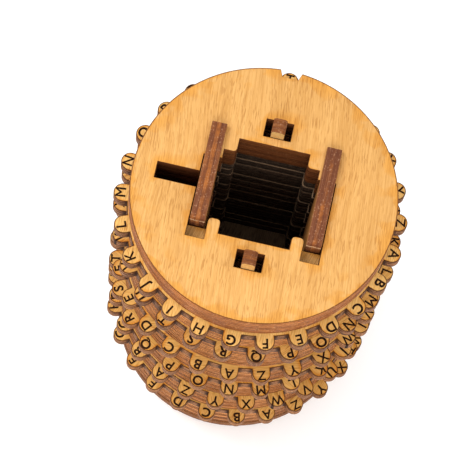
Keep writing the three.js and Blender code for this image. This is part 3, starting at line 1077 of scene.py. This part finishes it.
# ------- the rings
tongues = {
    "count": 26,
    "width": 5 * mm,
    "tipFacets": 14,
    "tipShare": 0.4999,  # the tip's radius as a share of the width, a hair under half
    "rimFacets": 208,
    "rootWall": 1.2 * mm,
}
letters = {
    "row": "ABCDEFGHIJKLMNOPQRSTUVWXYZ",
    "atNotch": "TENALP",  # what each ring shows at the notch, top ring first
    "size": 3.7 * mm,
    "inset": 1.88 * mm,  # from a tongue's tip to the middle of its letter
    "depth": 0.22 * mm,
    "boldness": 0.125 * mm,  # how far each side of a stroke is moved outwards
    "grain": 0.7,  # how far each ring's grain turns from the ring above, in radians
    "drumGrain": 0.9,  # the same for the sheets under it
}


def measureTongues():
    loops = rimLoops(frame["nodes"]["letter_ply_1"].data, turns["Z"])[0]
    outer = [point.length for point in loops[0]]
    tongues["ring"] = {
        "tip": max(outer),
        "valley": min(outer),
        "bore": max(point.length for point in loops[1]),
    }


def ringTurn(node):
    # How far the ring stands off the notch, from the angle of any tongue's tip.
    loops = rimLoops(frame["nodes"][node].data, turns["Z"])[0]
    tip = max(loops[0], key=lambda point: point.length)
    step = 2 * math.pi / tongues["count"]
    off = (math.atan2(tip.y, tip.x) - math.pi / 2) / step
    return (off - round(off)) * step


def makeLetterPly(number, turnedBy, materials):
    node = f"letter_ply_{number}"
    low, high = (corner.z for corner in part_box(node))
    sizes = tongues["ring"]
    blank = growMesh(node, tongueTree, {
        "Tongues": tongues["count"],
        "Tip Radius": sizes["tip"],
        "Valley Radius": sizes["valley"],
        "Bore Radius": sizes["bore"],
        "Tongue Width": tongues["width"],
        "Low": low,
        "Thickness": high - low,
        "Start": math.pi / 2 + turnedBy,
        "Material": materials[0],
    })
    loops = rimLoops(blank, turns["Z"])[0]
    piece = newPiece("cut_" + node, prismMesh(node, loops, low, high, turns["Z"]), materials)

    step = 2 * math.pi / tongues["count"]
    shown = letters["row"].index(letters["atNotch"][number - 1])
    cutterMesh = growMesh(f"letters_{number}", letterTree, {
        "Letters": letters["row"],
        "Letter Size": letters["size"],
        "Row Radius": sizes["tip"] - letters["inset"],
        "First Angle": math.pi / 2 + turnedBy + shown * step,
        "Floor": high - letters["depth"],
        "Height": 2 * letters["depth"],
        "Boldness": letters["boldness"],
        "Material": materials[1],
    })
    cutter = bpy.data.objects.new(f"letters_{number}", cutterMesh)
    bpy.context.collection.objects.link(cutter)
    engraving = piece.modifiers.new("engraving", "BOOLEAN")
    engraving.operation = "DIFFERENCE"
    engraving.solver = "MANIFOLD"
    engraving.object = cutter
    depsgraph = bpy.context.evaluated_depsgraph_get()
    engraved = bpy.data.meshes.new_from_object(piece.evaluated_get(depsgraph), depsgraph=depsgraph)
    bpy.data.objects.remove(cutter)
    bpy.data.objects.remove(piece)
    markSheet(engraved, math.pi / 2 + turnedBy, letters["grain"] * (number - 1), shadeOf(node))
    levels = [(vert.co.z - low) / (high - low) for vert in engraved.vertices]
    engraved.attributes["across"].data.foreach_set("value", levels)
    piece = newPiece("cut_" + node, engraved, materials)
    burnFloors(engraved, high - letters["depth"])
    standFor(piece, node)
    return piece


def burnFloors(mesh, floor):
    # The letters' floors and walls take the burnt finish.
    for face in mesh.polygons:
        touches = any(abs(mesh.vertices[i].co.z - floor) < 1e-6 for i in face.vertices)
        face.material_index = 1 if touches else 0


def cutBoxes(node):
    # Rectangles that make up a disc's cuts: each hole is split at the levels of its corners.
    boxes = []
    for loop in rimLoops(frame["nodes"][node].data, turns["Z"])[0][1:]:
        sides = list(zip(loop, loop[1:] + loop[:1]))
        levels = sorted({point.y for point in loop})
        for low, high in zip(levels, levels[1:]):
            if high - low < cuts["thinnest"]:
                continue
            middle = (low + high) / 2
            crossed = sorted(a.x for a, b in sides if min(a.y, b.y) < middle < max(a.y, b.y))
            for left, right in zip(crossed[::2], crossed[1::2]):
                boxes.append((Vector((left, low)), Vector((right, high))))
    return boxes


measureTongues()
tongueTree = makeTongueTree()
letterTree = makeLetterTree()
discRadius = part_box("base_disc")[1].y / mm
cuts = {
    "thinnest": 0.75 * mm,  # rounded corners leave bands thinner than this
    "rimBurn": 0.6,  # share of the true distance to the rim, which widens the rim's burnt line
    "rimMargins": (2.5, 2.0),  # edges this far inside the rim, in millimetres, are the cuts' own
    # how much painted shade the walls of the cuts inside the rim take, and the walls of the rail's slot
    "insideShade": 0.76,
    "railSlotShade": 0.97,
    "slotFade": 0.8,
    "railSlot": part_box("left_side_plate")[0].x / mm,  # the rail's slot lies beyond this X
}
faceWood = sheetMaterial("birchFace", topFinish, gapOfCuts(cutBoxes("top_disc"), discRadius))
backingGap = gapOfCuts(cutBoxes("top_disc_backing"), discRadius)
backingWood = sheetMaterial("birchBacking", backingFinish, backingGap)
shadedBaseWood = sheetMaterial("shadedBirchBase", shadedBaseFinish, gapOfCuts(cutBoxes("base_disc"), discRadius))
letterWoods = [sheetMaterial("litUpperLetterPly", litUpperLetterFinish, gapOfTongues)]
letterWoods += [sheetMaterial("letterPly", letterFinish, gapOfTongues)] * 5
drumWood = sheetMaterial("drumPly", drumFinish)
shadedCoreWood = sheetMaterial("shadedCore", shadedCoreFinish)
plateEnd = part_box("left_side_plate")
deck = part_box("top_disc")[1].z / mm
plateWood = sheetMaterial("platePly", plateFinish, None, chippedGlintEnd(plateEnd[0].y / mm, deck))
tieWood = sheetMaterial("tiePly", tieFinish)
burnt = burntMaterial()
print("materials and trees are made")

for number in range(1, 7):
    turnedBy = ringTurn(f"letter_ply_{number}")
    makeLetterPly(number, turnedBy, [letterWoods[number - 1], burnt])
    for node in sorted(frame["nodes"]):
        if node.endswith(f"_ply_{number}") and not node.startswith("letter"):
            makeSheet(node, "Z", drumWood, number * letters["drumGrain"], turnedBy)
print("rings are made")

discs = {
    "top_disc": (faceWood, -0.08),
    "top_disc_backing": (backingWood, 0.3),
    "top_collar": (backingWood, 1.3),
    "base_disc": (shadedBaseWood, 0.7),
    "drawer_cap": (shadedBaseWood, -0.4),
}
for node, (wood, grain) in discs.items():
    makeSheet(node, "Z", wood, grain)
for node in [name for name in sorted(frame["nodes"]) if name.startswith("core_")]:
    makeSheet(node, "Z", shadedCoreWood)
for node in ("left_side_plate", "right_side_plate"):
    makeSheet(node, "X", plateWood)
for node in ("front_tie_plate", "back_tie_plate", "tooth_rail"):
    makeSheet(node, "Y", tieWood)
makeSheet("drawer_roof", "Z", shadedCoreWood)
makeSheet("drawer_side_wall", "X", shadedCoreWood)
for node in ("drawer_front_wall", "drawer_back_wall"):
    makeSheet(node, "Y", shadedCoreWood)
print("discs, core, plates and drawer are made")
